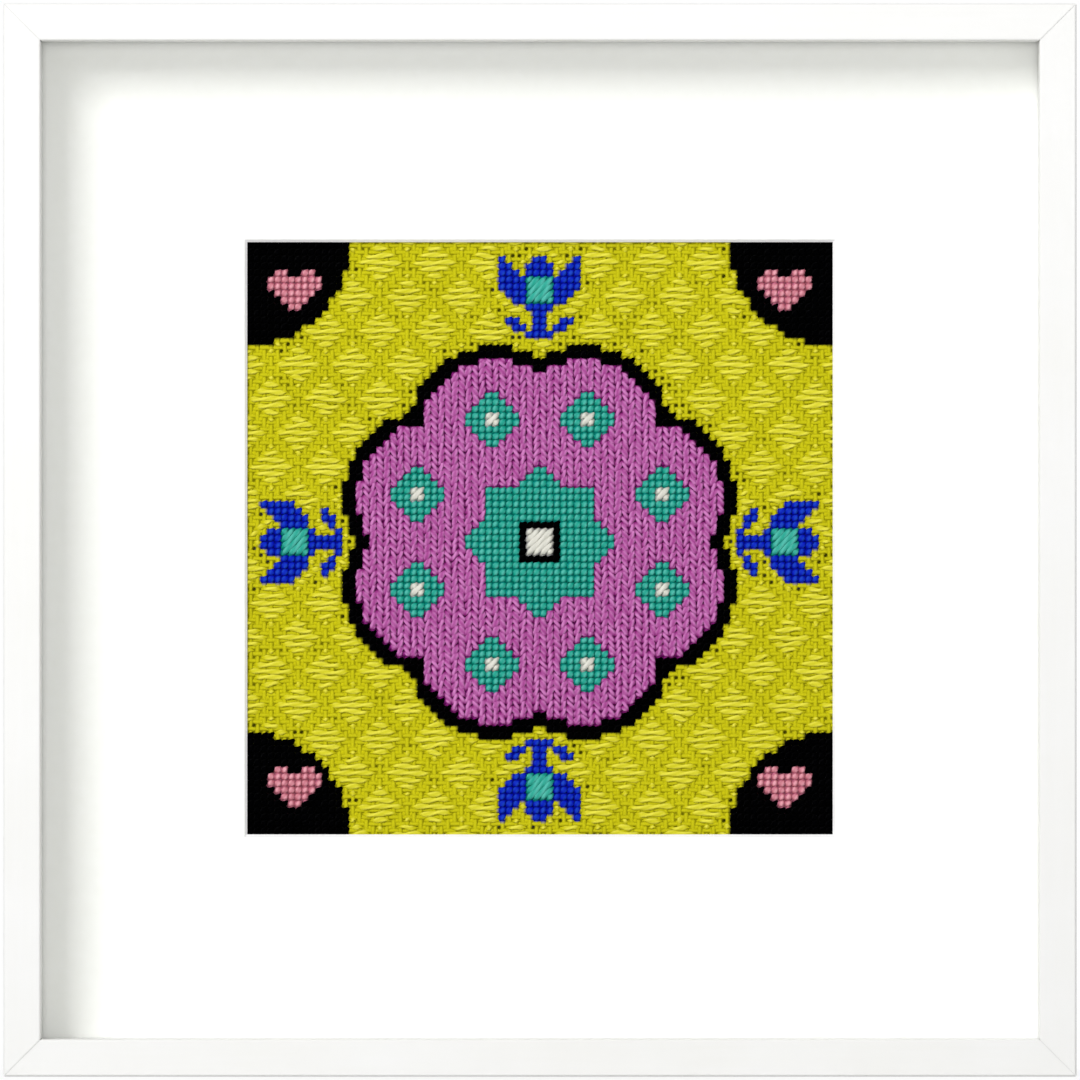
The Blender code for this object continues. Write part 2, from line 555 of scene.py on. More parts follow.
def yarn_tubes(start: Array, end: Array, rings: int, lay: Lay, rng: np.random.Generator) -> Surface:
    """Many stitches of one kind as closed tubes.

    The path runs from start to end, t from 0 to 1. Its height is
    dive + (top - dive) smoothstep(d / lead), where d is the distance to the nearer end and top is
    crest (1 - pull / length), plus swell times (1 + cos(2 pi length t)) / 2. It bows sideways by a
    random share of sin(pi t) and tilts by one of sin(2 pi t). The section is an ellipse times
    1 + ply_depth cos 2 (angle - twist), so its two lobes wind along the yarn.

    Args:
        start: (u, v) of each stitch's first hole.
        end: (u, v) of its last hole.
        rings: Rings along each stitch.
        lay: The stitch's form.
        rng: The source of its unevenness.

    Returns:
        The tubes in canvas coordinates, with the turn round the yarn and the distance along it in
        their UVs and the point values tone, one random number for each stitch, and crest, 1 on top
        and 0 in the holes and behind. The yarn's material paints shade where crest is low.
    """
    count, sides = len(start), lay.sides
    whole = end - start
    length = np.linalg.norm(whole, axis=1, keepdims=True)
    ahead = whole / length
    start, end = start + ahead * lay.inset, end - ahead * lay.inset
    aside = np.stack([-ahead[:, 1], ahead[:, 0]], axis=1)

    even = np.linspace(0.0, 1.0, rings)
    t = EVENNESS * even + (1 - EVENNESS) * (0.5 - 0.5 * np.cos(np.pi * even))
    reach = length * np.minimum(t, 1 - t)
    rise = smoothstep(reach / np.minimum(lay.lead, length / 2))
    dive, narrowing = np.where(t < 0.5, *lay.dive), np.where(t < 0.5, *lay.narrowing)
    bow = rng.normal(0.0, lay.wander, (count, 1)) * np.sin(np.pi * t)
    tilt = rng.normal(0.0, lay.wander, (count, 1)) * np.sin(2 * np.pi * t)
    loft = 1 + rng.normal(0.0, lay.loft, (count, 1)).clip(-2 * lay.loft, 2 * lay.loft)

    path = np.empty((count, rings, 3))
    path[..., :2] = start[:, None] + (end - start)[:, None] * t[:, None]
    path[..., :2] += aside[:, None] * (bow + tilt)[..., None]
    path[..., 2] = dive + (lay.crest * loft * (1 - lay.pull / length) - dive) * rise
    path[..., 2] += lay.swell * rise * (1 + np.cos(2 * np.pi * length * t)) / 2

    tangent = np.gradient(path, axis=1)
    tangent /= np.linalg.norm(tangent, axis=-1, keepdims=True)
    side = np.cross(np.array([0.0, 0.0, 1.0]), tangent)
    side /= np.linalg.norm(side, axis=-1, keepdims=True)
    normal = np.cross(tangent, side)

    angle = np.arange(sides) * 2 * np.pi / sides
    phase = rng.uniform(0, 1, (count, 1))
    twist = 2 * np.pi * (phase + PLY_TURNS * length * t)
    lobes = 1 + lay.ply_depth * np.cos(2 * (angle - twist[..., None]))
    size = narrowing + (1 - narrowing) * rise
    width = (lay.half_width * size)[..., None] * np.cos(angle) * lobes
    height = (lay.half_height * loft * size)[..., None] * np.sin(angle) * lobes
    skin = path[:, :, None] + side[:, :, None] * width[..., None]
    skin += normal[:, :, None] * height[..., None]

    tips = path[:, [0, -1]]
    points = np.concatenate([skin.reshape(count, -1, 3), tips], axis=1)
    around = np.arange(sides) / sides - phase
    beyond = around + 1 / sides
    along = length * t
    near, far = along[:, :-1, None], along[:, 1:, None]
    shape = (count, rings - 1, sides)
    corners = [(around, near), (beyond, near), (beyond, far), (around, far)]
    quad_uv = np.stack(
        [
            np.stack([np.broadcast_to(u[:, None], shape), np.broadcast_to(v, shape)], axis=-1)
            for u, v in corners
        ],
        axis=-2,
    )
    cap_v = np.repeat(np.concatenate([0 * length, length], axis=1), sides, axis=1)
    cap_uv = np.repeat(np.stack([np.tile(around, 2), cap_v], axis=-1)[:, :, None], 3, axis=2)

    # crest sets painted shade in the yarn's material; runs behind the canvas get 0 all along, so are
    # painted wholly in shade
    crest = np.concatenate([np.repeat(rise, sides, axis=1), np.zeros((count, 2))], axis=1)
    crest *= lay.crest > 0
    tone = np.repeat(rng.uniform(0, 1, (count, 1)), points.shape[1], axis=1)
    return Surface(
        points.reshape(-1, 3),
        list(tube_faces(count, rings, sides)),
        [quad_uv.reshape(-1, 4, 2), cap_uv.reshape(-1, 3, 2)],
        {"tone": tone.ravel(), "crest": crest.ravel()},
    )


# ---------------------------------------------------------------------------------------------------
# Finishes
# ---------------------------------------------------------------------------------------------------


class Graph:
    """Adds and links the nodes of one material."""

    MIX_INPUTS = (0, 6, 7)  # a Mix node's share and its two colours
    MIX_OUTPUT = 2

    def __init__(self, name: str) -> None:
        """Starts a material with a Principled shader."""
        self.material = bpy.data.materials.new(name)
        self.material.use_nodes = True
        self.tree = self.material.node_tree
        self.shader = self.tree.nodes["Principled BSDF"]

    def put(self, socket: bpy.types.NodeSocket, value: object) -> None:
        """Links a socket to another or sets its constant. A colour is given without its alpha."""
        if isinstance(value, bpy.types.NodeSocket):
            self.tree.links.new(value, socket)
        elif socket.type == "RGBA":
            socket.default_value = (*value, 1.0)
        else:
            socket.default_value = value

    def fill(self, node: bpy.types.Node, values: dict[str, object]) -> None:
        """Links or sets inputs of a node by name, with _ for the spaces in their names."""
        for name, value in values.items():
            self.put(node.inputs[name.replace("_", " ")], value)

    def set(self, **values: object) -> None:
        """Links or sets inputs of the shader."""
        self.fill(self.shader, values)

    def node(
        self, kind: str, out: str | int = 0, settings: dict | None = None, **values: object
    ) -> bpy.types.NodeSocket:
        """A new node.

        Args:
            kind: The node's type, without ShaderNode.
            out: The output that is wanted.
            settings: Properties of the node.
            **values: Inputs by name.

        Returns:
            That output.
        """
        made = self.tree.nodes.new("ShaderNode" + kind)
        for key, value in (settings or {}).items():
            setattr(made, key, value)
        self.fill(made, values)
        return made.outputs[out]

    def math(self, operation: str, *values: object) -> bpy.types.NodeSocket:
        """A Math node on numbers or sockets."""
        made = self.tree.nodes.new("ShaderNodeMath")
        made.operation = operation
        for socket, value in zip(made.inputs, values):
            self.put(socket, value)
        return made.outputs[0]

    def total(self, *terms: tuple[object, float]) -> bpy.types.NodeSocket:
        """The sum of some sockets, each times its weight."""
        weighted = [self.math("MULTIPLY", source, weight) for source, weight in terms]
        result = weighted[0]
        for term in weighted[1:]:
            result = self.math("ADD", result, term)
        return result

    def blend(
        self, share: object, first: object, second: object, mode: str = "MIX"
    ) -> bpy.types.NodeSocket:
        """A Mix node between two colours."""
        made = self.tree.nodes.new("ShaderNodeMix")
        made.data_type = "RGBA"
        made.blend_type = mode
        for number, value in zip(self.MIX_INPUTS, (share, first, second)):
            self.put(made.inputs[number], value)
        return made.outputs[self.MIX_OUTPUT]

    def parts(self, vector: bpy.types.NodeSocket) -> tuple[bpy.types.NodeSocket, ...]:
        """The X, Y and Z of a vector."""
        made = self.tree.nodes.new("ShaderNodeSeparateXYZ")
        self.put(made.inputs[0], vector)
        return tuple(made.outputs)

    def place(self) -> bpy.types.NodeSocket:
        """The piece's own coordinates, in metres."""
        return self.node("TexCoord", "Object")

    def noise(
        self, size: float, detail: float, vector: object = None, roughness: float = 0.5
    ) -> bpy.types.NodeSocket:
        """Noise with features of about this size, in metres unless a vector is given."""
        where = self.place() if vector is None else vector
        return self.node("TexNoise", "Fac", None, Vector=where, Scale=1 / size, Detail=detail,
                         Roughness=roughness)

    def value(self, label: str, out: str = "Fac") -> bpy.types.NodeSocket:
        """A point value of the mesh."""
        return self.node("Attribute", out, {"attribute_name": label})

    def ranged(
        self, source: object, low: float, high: float, first: float = 0.0, last: float = 1.0
    ) -> bpy.types.NodeSocket:
        """A number carried from low..high to first..last."""
        return self.node("MapRange", 0, None, Value=source, From_Min=low, From_Max=high,
                         To_Min=first, To_Max=last)

    def bump(self, height: object, depth: float, strength: float) -> bpy.types.NodeSocket:
        """A normal from a height between 0 and 1 that is worth this depth in metres."""
        return self.node("Bump", 0, None, Height=height, Distance=depth, Strength=strength)


@dataclass(frozen=True)
class YarnFinish:
    """Twisted two-ply yarn.

    Attributes:
        name: The material's name.
        light: Colour of the ply crests and stitch tops, the yarn's colour as a painted highlight.
        deep: Colour of painted shade between the plies, down in the holes and behind the canvas.
            Fibres, tone and dye that come out low lean towards it too.
        roughness: How matt the fibres are.
        sheen: Strength of the soft halo of loose fibres.
        specular: Strength of the fibres' own gloss.
        relief: Depth of the plies and fibres, in metres.
        dye_patch: Size of the slow changes of dye, in metres.
        fibre_turns: Turns of the fibres for each turn of the plies.
        fibre_grain: How fast the fibres change round the yarn, along it and between stitches.
    """

    name: str
    light: Colour
    deep: Colour
    roughness: float = 0.8
    sheen: float = 0.05
    specular: float = 0.06
    relief: float = 0.00012
    dye_patch: float = 0.012
    fibre_turns: float = 1.6
    fibre_grain: tuple[float, float, float] = (16.0, 2.2, 40.0)

    def material(self) -> bpy.types.Material:
        """The plies as stripes along the UVs, with fine fibres and slow changes of dye between them.

        A ply is at its crest where cos(4 pi (around - PLY_TURNS along)) is 1. The colour is lighter
        there, a painted highlight, and darker in the grooves between the plies, a painted shade.
        Where the point value crest is low, in the holes and on the runs behind the canvas, it is
        darkened towards deep as painted shade.
        """
        graph = Graph(self.name)
        around, along, _ = graph.parts(graph.node("UVMap", 0, {"uv_map": YARN_UV}))
        turned = graph.math("SUBTRACT", around, graph.math("MULTIPLY", along, PLY_TURNS))
        wave = graph.math("COSINE", graph.math("MULTIPLY", turned, 4 * math.pi))
        ply = graph.ranged(wave, -1.0, 1.0)
        strands = graph.noise(1.0, 2.0, self._combed(graph, around, along), 0.6)
        dye = graph.noise(self.dye_patch, 2.0)
        # painted highlight on the ply crests and painted shade in their grooves, mixed with fibres,
        # tone and dye
        lit = graph.total((ply, 0.50), (strands, 0.42), (graph.value("tone"), 0.16), (dye, 0.14))
        # painted shade: darker towards deep where crest is low, in the holes and on the runs behind the
        # canvas
        lit = graph.math("MULTIPLY", lit, graph.ranged(graph.value("crest"), 0.15, 0.95))
        height = graph.total((ply, 0.6), (strands, 0.5))
        graph.set(
            Base_Color=graph.blend(graph.ranged(lit, 0.1, 0.95), self.deep, self.light),
            Roughness=graph.ranged(strands, 0.2, 0.8, self.roughness - 0.08, self.roughness + 0.12),
            Normal=graph.bump(height, self.relief, 0.8),
            Sheen_Weight=self.sheen,
            Sheen_Roughness=0.5,
            Sheen_Tint=self.light,
            Specular_IOR_Level=self.specular,
        )
        return graph.material

    def _combed(
        self, graph: Graph, around: bpy.types.NodeSocket, along: bpy.types.NodeSocket
    ) -> bpy.types.NodeSocket:
        """Coordinates stretched along the twisted fibres: fast round the yarn and slow along it."""
        slant = graph.math("MULTIPLY", along, self.fibre_turns * PLY_TURNS)
        sources = (graph.math("SUBTRACT", around, slant), along, graph.value("tone"))
        grains = [graph.math("MULTIPLY", *pair) for pair in zip(sources, self.fibre_grain)]
        return graph.node("CombineXYZ", 0, None, **dict(zip("XYZ", grains)))


@dataclass(frozen=True)
class PaintedCanvas:
    """Cotton canvas under a thin coat of design paint.

    Attributes:
        name: The material's name.
        grain: Size of the cotton fibres, in metres.
        patch: Size of the places where the paint lies thicker, in metres.
        thin: What thin paint does to the painted colour.
        thick: What thick paint does to it.
        relief: Depth of the fibres, in metres.
    """

    name: str
    grain: float = 0.00022
    patch: float = 0.006
    thin: Colour = (0.84, 0.83, 0.7)
    thick: Colour = (1.1, 1.1, 1.6)
    relief: float = 0.00006

    def material(self) -> bpy.types.Material:
        """The painted colours of the mesh, broken by cotton fibres."""
        graph = Graph(self.name)
        fibres = graph.noise(self.grain, 3.0)
        patches = graph.noise(self.patch, 2.0)
        colour = graph.value("paint", "Color")
        thin = graph.blend(1.0, colour, self.thin, "MULTIPLY")
        thick = graph.blend(1.0, colour, self.thick, "MULTIPLY")
        share = graph.ranged(graph.total((fibres, 0.7), (patches, 0.4)), 0.3, 0.8)
        graph.set(
            Base_Color=graph.blend(share, thin, thick),
            Roughness=graph.ranged(fibres, 0.2, 0.8, 0.62, 0.85),
            Normal=graph.bump(fibres, self.relief, 0.6),
            Specular_IOR_Level=0.06,
        )
        return graph.material


@dataclass(frozen=True)
class PaintedWood:
    """White satin paint on smooth wood.

    Attributes:
        name: The material's name.
        colour: The paint.
        warm: A faint yellowing that comes and goes.
        roughness: Middle of its gloss.
        along: Axis that the grain runs along, 0 for X and 2 for Z.
        drawn_out: Scale of the grain along that axis.
        grain: Width of the grain, in metres.
        patch: Size of the slow patches of tone, in metres.
        stipple: Size of the texture of rolled paint, in metres.
        relief: Depth of both textures, in metres.
    """

    name: str
    colour: Colour = (0.785, 0.785, 0.778)
    warm: Colour = (0.762, 0.761, 0.740)
    roughness: float = 0.42
    along: int = 0
    drawn_out: float = 0.06
    grain: float = 0.0016
    patch: float = 0.035
    stipple: float = 0.0007
    relief: float = 0.00003

    def material(self) -> bpy.types.Material:
        """Slow patches of tone, a faint grain, and the fine texture of rolled paint in the gloss."""
        graph = Graph(self.name)
        scale = tuple(self.drawn_out if axis == self.along else 1.0 for axis in range(3))
        combed = graph.node("Mapping", 0, None, Vector=graph.place(), Scale=scale)
        grain = graph.noise(self.grain, 4.0, combed)
        patches = graph.noise(self.patch, 3.0)
        stipple = graph.noise(self.stipple, 2.0)
        share = graph.ranged(graph.total((patches, 0.75), (grain, 0.35)), 0.35, 0.8)
        height = graph.total((grain, 0.7), (stipple, 0.5))
        graph.set(
            Base_Color=graph.blend(share, self.colour, self.warm),
            Roughness=graph.ranged(stipple, 0.2, 0.8, self.roughness - 0.06, self.roughness + 0.08),
            Normal=graph.bump(height, self.relief, 0.6),
            Specular_IOR_Level=0.4,
        )
        return graph.material


@dataclass(frozen=True)
class Card:
    """Smooth white mat board with a fine tooth, and a greyer core that its bevelled window shows.

    Attributes:
        middle: X and Z of the window's middle.
        reach: Half the window's width and half its height at the mat's face.
        name: The material's name.
        colour: The face paper.
        shaded: Its slow changes of tone.
        core: The board inside.
        core_inset: How far inside the window's edge the core begins, in metres.
        tooth: Size of the paper's tooth, in metres.
        cloud: Size of its changes of tone, in metres.
        relief: Depth of the tooth, in metres.
    """

    middle: tuple[float, float]
    reach: tuple[float, float]
    name: str = "mat_card"
    colour: Colour = (0.950, 0.960, 0.925)
    shaded: Colour = (0.935, 0.944, 0.905)
    core: Colour = (0.84, 0.835, 0.84)
    core_inset: float = 1e-5
    tooth: float = 0.0004
    cloud: float = 0.004
    relief: float = 0.00003

    def material(self) -> bpy.types.Material:
        """Paper pulp as two sizes of noise, and the core where |x| and |z| are less than the reach."""
        graph = Graph(self.name)
        tooth = graph.noise(self.tooth, 4.0)
        cloud = graph.noise(self.cloud, 3.0)
        x, _, z = graph.parts(graph.place())
        within = 1.0
        for place, middle, reach in zip((x, z), self.middle, self.reach):
            away = graph.math("ABSOLUTE", graph.math("SUBTRACT", place, middle))
            inside = graph.math("LESS_THAN", away, reach - self.core_inset)
            within = graph.math("MULTIPLY", inside, within)
        paper = graph.blend(graph.ranged(cloud, 0.3, 0.7), self.colour, self.shaded)
        graph.set(
            Base_Color=graph.blend(within, paper, self.core),
            Roughness=graph.ranged(tooth, 0.2, 0.8, 0.82, 0.95),
            Normal=graph.bump(tooth, self.relief, 0.6),
            Specular_IOR_Level=0.2,
        )
        return graph.material


@dataclass(frozen=True)
class Hardboard:
    """Brown pressed fibre board.

    Attributes:
        name: The material's name.
        dark: Colour of the pressed fibres.
        light: Colour of the loose ones.
        fleck: Size of the finest fibres, in metres.
        hair: Size of the curls of single long fibres, in metres.
        cloud: Size of the slow changes of tone, in metres.
        relief: Depth of the fibres, in metres.
    """

    name: str = "hardboard"
    dark: Colour = srgb(104, 70, 46)
    light: Colour = srgb(150, 110, 78)
    fleck: float = 0.0011
    hair: float = 0.0035
    cloud: float = 0.02
    relief: float = 0.00006

    def material(self) -> bpy.types.Material:
        """Matted fibres: two noises, and a third that is folded into threads where it is near 0.5."""
        graph = Graph(self.name)
        fleck = graph.noise(self.fleck, 6.0, None, 0.65)
        cloud = graph.noise(self.cloud, 3.0)
        fold = graph.math("ABSOLUTE", graph.math("SUBTRACT", graph.noise(self.hair, 5.0), 0.5))
        hair = graph.ranged(fold, 0.0, 0.06, 1.0, 0.0)
        share = graph.total((fleck, 0.8), (cloud, 0.35), (hair, 0.12))
        graph.set(
            Base_Color=graph.blend(graph.ranged(share, 0.35, 0.9), self.dark, self.light),
            Roughness=graph.ranged(fleck, 0.3, 0.7, 0.5, 0.72),
            Normal=graph.bump(share, self.relief, 0.8),
            Specular_IOR_Level=0.35,
        )
        return graph.material


@dataclass(frozen=True)
class Steel:
    """Galvanised sheet steel.

    Attributes:
        name: The material's name.
        colour: The bright zinc.
        dull: Its duller spangles.
        spangle: Their size, in metres.
        relief: Their depth, in metres.
    """

    name: str = "tab_steel"
    colour: Colour = (0.56, 0.57, 0.58)
    dull: Colour = (0.40, 0.41, 0.42)
    spangle: float = 0.0012
    relief: float = 0.00003

    def material(self) -> bpy.types.Material:
        """Spangle as patches of tone and gloss."""
        graph = Graph(self.name)
        spangle = graph.noise(self.spangle, 4.0)
        graph.set(
            Base_Color=graph.blend(graph.ranged(spangle, 0.35, 0.7), self.colour, self.dull),
            Roughness=graph.ranged(spangle, 0.2, 0.8, 0.28, 0.5),
            Normal=graph.bump(spangle, self.relief, 0.5),
            Metallic=1.0,
        )
        return graph.material


# light carries a painted highlight and deep a painted shade, as YarnFinish.material blends them
YARNS: dict[str, YarnFinish] = {
    "ground": YarnFinish("yarn_lime", srgb(223, 217, 73), srgb(192, 186, 13)),
    "orchid": YarnFinish("yarn_orchid", srgb(199, 123, 184), srgb(140, 34, 118)),
    "teal": YarnFinish("yarn_teal", srgb(82, 178, 164), srgb(10, 146, 126)),
    "cream": YarnFinish("yarn_cream", srgb(215, 214, 204), srgb(197, 196, 186)),
    "black": YarnFinish("yarn_black", srgb(2, 2, 3), srgb(1, 1, 1), sheen=0.0, specular=0.0),
    "blue": YarnFinish("yarn_blue", srgb(26, 66, 184), srgb(1, 16, 176)),
    "pink": YarnFinish("yarn_pink", srgb(227, 160, 172), srgb(178, 98, 113)),
}


def dress(piece: bpy.types.Object, material: bpy.types.Material) -> bpy.types.Object:
    """Gives a piece its one material, in place of any that it has."""
    piece.data.materials.clear()
    piece.data.materials.append(material)
    return piece


def seat(pieces: list[bpy.types.Object]) -> None:
    """Makes new pieces part of the panel, and logs how many faces each has."""
    for piece in pieces:
        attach(piece, "root")
        log.info("%s: %d faces", piece.name, len(piece.data.polygons))


# ---------------------------------------------------------------------------------------------------
# The panel's sub-assemblies
# ---------------------------------------------------------------------------------------------------


@dataclass
class Canvas:
    """The painted mono canvas: its threads, and the thin sheet of size and paint behind them.

    Attributes:
        gauge: The canvas count.
        design: The chart that it is painted from.
        sheet_front: Y of the sheet's face.
        sheet_back: Y of its back.
        pulled: How far each hole is pulled open, from 0 to 1, as an array of u by v.
        half_width: Half a thread's width, in threads of pitch.
        half_height: Half its thickness, likewise.
        crimp: How far it swings to pass over and under, likewise.
        sides: Sides of a thread.
        turn: Angle of its first corner, which brings the second one to the front.
        give: Share by which it is narrower on the side of a wide open hole.
        swell: Depth of the sheet's slow unevenness, in metres.
        waves: How fast that changes with u and with v.
        wave_start: Its phase at v = 0.
        painted_light_gain: Painted light: how much the sheet's paint is brightened where the holes show
            it.
        brightest: The most light that such paint sends back.
        shade: How much of that light comes back from a wide open hole.
    """

    gauge: Gauge
    design: Design
    sheet_front: float
    sheet_back: float
    pulled: Array
    half_width: float = 0.41
    half_height: float = 0.08
    crimp: float = 0.03
    sides: int = 5
    turn: float = math.pi / 10
    give: float = 0.42
    swell: float = 0.00005
    waves: tuple[float, float] = (0.31, 0.27)
    wave_start: float = 1.1
    painted_light_gain: float = 1.6
    brightest: float = 0.9
    shade: float = 0.08

    def threads(self, name: str, upright: bool) -> bpy.types.Object:
        """All the threads of one direction.

        A thread's middle is at height crimp cos(pi (s - 1/2)) times -1 for every other thread, s being
        the distance along it, and the crossing threads swing the other way. Every second ring lies
        between two holes, and is narrower towards one that is pulled open.

        Args:
            name: The piece's name.
            upright: True for the warps, which run along v.

        Returns:
            The piece.
        """
        columns, rows = self.gauge.stitched
        count, length = (columns, rows) if upright else (rows, columns)
        along = np.arange(2 * length + 1) / 2
        lane = np.arange(count)
        sign = np.where(lane % 2 == 0, 1.0, -1.0) * (1 if upright else -1)
        height = self.crimp * sign[:, None] * np.cos(np.pi * (along - 0.5))
        angle = np.arange(self.sides) * 2 * np.pi / self.sides + self.turn
        side, rise = np.cos(angle), np.sin(angle)
        holes = self.pulled if upright else self.pulled.T
        beside = np.zeros((count, len(along), 2))
        beside[:, ::2, 0], beside[:, ::2, 1] = holes[:-1], holes[1:]
        reach = self.half_width * (1 - self.give * beside[:, :, (side > 0).astype(int)])
        aside = (lane + 0.5)[:, None, None] + reach * side
        run = np.broadcast_to(along[None, :, None], aside.shape)
        lift = np.broadcast_to(height[:, :, None] + self.half_height * rise, aside.shape)
        skin = np.stack([aside, run, lift] if upright else [run, aside, lift], axis=-1)
        ends = skin[:, [0, -1]].mean(axis=2)
        points = np.concatenate([skin.reshape(count, -1, 3), ends], axis=1).reshape(-1, 3)
        faces = list(tube_faces(count, len(along), self.sides))
        if upright:
            faces = [block[:, ::-1] for block in faces]
        values = {"paint": self.design.paint_at(points[:, 0], points[:, 1])}
        surface = Surface(self.gauge.to_space(points), faces, [], values)
        return dress(surface.to_object(name), PaintedCanvas(name).material())

    def sheet(self) -> bpy.types.Object:
        """The thin sheet behind the threads, with a point at each hole of the whole canvas.

        Its face is uneven by swell sin(wave_u u) sin(wave_v v + wave_start). Its paint is
        brightened as painted light in the holes, and darkened behind open holes as painted shade.
        """
        bare = self.gauge.bare
        lines = [np.arange(-bare, count + bare + 1.0) for count in self.gauge.stitched]
        u, v = np.meshgrid(*lines, indexing="ij")
        front = self.gauge.to_space(np.stack([u, v, np.zeros_like(u)], axis=-1))
        back = front.copy()
        wave_u, wave_v = self.waves
        uneven = self.swell * np.sin(wave_u * u) * np.sin(wave_v * v + self.wave_start)
        front[..., 1] = self.sheet_front + uneven
        back[..., 1] = self.sheet_back
        surface = closed_grid(front, back)
        # painted light: the sheet's paint is brightened so that the holes between threads look less
        # shaded
        paint = (self.design.paint_at(u + 0.5, v + 0.5) * self.painted_light_gain).clip(0, self.brightest)
        # painted shade: the paint is darkened behind holes that are pulled open
        light = 1 - (1 - self.shade) * self.pulled
        paint[bare:-bare, bare:-bare] *= light[..., None]
        surface.values["paint"] = np.tile(paint.reshape(-1, 4), (2, 1))
        piece = surface.to_object("canvas_sheet")
        return dress(piece, PaintedCanvas("canvas_sheet").material())

    def build(self) -> list[bpy.types.Object]:
        """The sheet, the warps and the wefts."""
        return [self.sheet(), self.threads("canvas_warps", True), self.threads("canvas_wefts", False)]


@dataclass
class Stitchwork:
    """Stitches of one kind, worked from the chart.

    Attributes:
        gauge: The canvas count.
        design: The chart.
    """

    gauge: Gauge
    design: Design

    def worked(
        self, name: str, batches: list[Surface], finish: bpy.types.Material
    ) -> bpy.types.Object:
        """A piece of finished stitches.

        Args:
            name: The piece's name.
            batches: Its tubes, in canvas coordinates.
            finish: Its yarn.

        Returns:
            The piece, in its place on the canvas.
        """
        surface = joined(batches)
        surface.points = self.gauge.to_space(surface.points)
        return dress(surface.to_object(name), finish)


@dataclass
class DarnedGround(Stitchwork):
    """The diamond ground: each row of yarn runs over 7, 5, 3 or 1 warps and under the rest.

    Attributes:
        across: Threads from one diamond to the next in a row.
        down: Rows from one diamond to the next below it.
        widest: Warps under a diamond's longest stitch.
        origin: Warp and row of one diamond's middle, from the window's left edge and foot.
        open_share: How many of the bare holes near another area are pulled wide open.
        slack_share: How many of the others are slack.
        slack: How far those are open.
        lay: How the stitches lie.
        behind: How the yarn runs behind the canvas.
        rings: Rings for each thread of yarn in the stitches, and in the runs behind.
    """

    across: int = 8
    down: int = 10
    widest: int = 7
    origin: tuple[float, int] = (3.5, 4)
    open_share: float = 0.6
    slack_share: float = 0.08
    slack: float = 0.3
    lay: Lay = Lay(0.35, 0.12, 0.22, dive=(0.0, 0.0), narrowing=(0.35, 0.35), lead=1.0, pull=0.2,
                   wander=0.085, inset=0.0, ply_depth=0.28, sides=7)
    behind: Lay = Lay(0.44, 0.10, -0.24, dive=(-0.10, -0.10), lead=0.5, narrowing=(1.0, 1.0),
                      inset=0.0, swell=0.32, wander=0.02, ply_depth=0.0, sides=5)
    rings: tuple[int, int] = (3, 2)

    def open_rows(self) -> NDArray[np.bool_]:
        """Where a row of holes crosses a warp with the ground both above and below it."""
        ground = self.design.cells == Area.GROUND
        across, up = ground.shape
        free = np.zeros((across, up + 1), bool)
        free[:, 1:-1] = ground[:, 1:] & ground[:, :-1]
        free[:, 0], free[:, -1] = ground[:, 0], ground[:, -1]
        return free

    def pattern(self) -> NDArray[np.bool_]:
        """Where the yarn is over a warp.

        A diamond's stitch k rows from its middle spans widest - 2 k warps. A second set of diamonds
        lies half a repeat across and down.
        """
        across, up = self.gauge.stitched
        warp = np.arange(across)[:, None] + 0.5 - self.gauge.hidden
        row = np.arange(up + 1)[None, :] - self.gauge.hidden
        over = np.zeros(np.broadcast_shapes(warp.shape, row.shape), bool)
        for half in (0, 1):
            from_middle = (warp - self.origin[0] - half * self.across / 2) % self.across
            rows_off = (row - self.origin[1] - half * self.down / 2) % self.down
            from_middle = np.minimum(from_middle, self.across - from_middle)
            rows_off = np.minimum(rows_off, self.down - rows_off)
            over |= from_middle <= (self.widest - 2 * rows_off - 1) / 2
        return over

    def pulled_holes(self) -> Array:
        """How far each hole is pulled open, from 0 to 1, as an array of u by v.

        A hole may open if the four crossings that touch it are ground and no stitch covers it. Where
        another area has one of the 16 crossings nearest to it, its stitches may pull it wide open. A
        few of the rest are slack.
        """
        other = self.design.cells != Area.GROUND
        window = np.lib.stride_tricks.sliding_window_view
        touching = window(np.pad(other, 1), (2, 2)).any(axis=(2, 3))
        near = window(np.pad(other, 2), (4, 4)).any(axis=(2, 3))
        stitched = np.pad(self.pattern(), ((1, 1), (0, 0)))
        bare = ~touching & ~stitched[1:] & ~stitched[:-1]
        chance = np.random.default_rng(SEED).random(near.shape)
        slack = self.slack * (chance < self.slack_share)
        return bare * np.where(near, chance < self.open_share, slack)

    @staticmethod
    def runs(mask: NDArray[np.bool_]) -> tuple[Array, Array]:
        """First hole and last hole of each unbroken run along u, as (u, v)."""
        padded = np.pad(mask, ((1, 1), (0, 0))).astype(np.int8).T
        change = np.diff(padded, axis=1)
        row, first = np.nonzero(change == 1)
        _, last = np.nonzero(change == -1)
        return np.stack([first, row], axis=1) * 1.0, np.stack([last, row], axis=1) * 1.0

    def strands(
        self, mask: NDArray[np.bool_], lay: Lay, rings_each: int, rng: np.random.Generator
    ) -> list[Surface]:
        """The runs of a mask as yarn, one batch for each length, with more rings on longer ones."""
        start, end = self.runs(mask)
        length = (end - start)[:, 0]
        batches = []
        for size in np.unique(length):
            chosen = length == size
            rings = END_RINGS + int(rings_each * size)
            batches.append(yarn_tubes(start[chosen], end[chosen], rings, lay, rng))
        return batches

    def build(self) -> list[bpy.types.Object]:
        """The stitches, and the runs of yarn behind the canvas, which leave open holes clear."""
        rng = np.random.default_rng(SEED)
        free, over, pulled = self.open_rows(), self.pattern(), self.pulled_holes() > 0
        hidden = free & ~over & ~pulled[1:] & ~pulled[:-1]
        finish = YARNS["ground"].material()
        stitches = self.strands(free & over, self.lay, self.rings[0], rng)
        runs = self.strands(hidden, self.behind, self.rings[1], rng)
        return [
            self.worked("ground_stitches", stitches, finish),
            self.worked("ground_runs_behind", runs, finish),
        ]


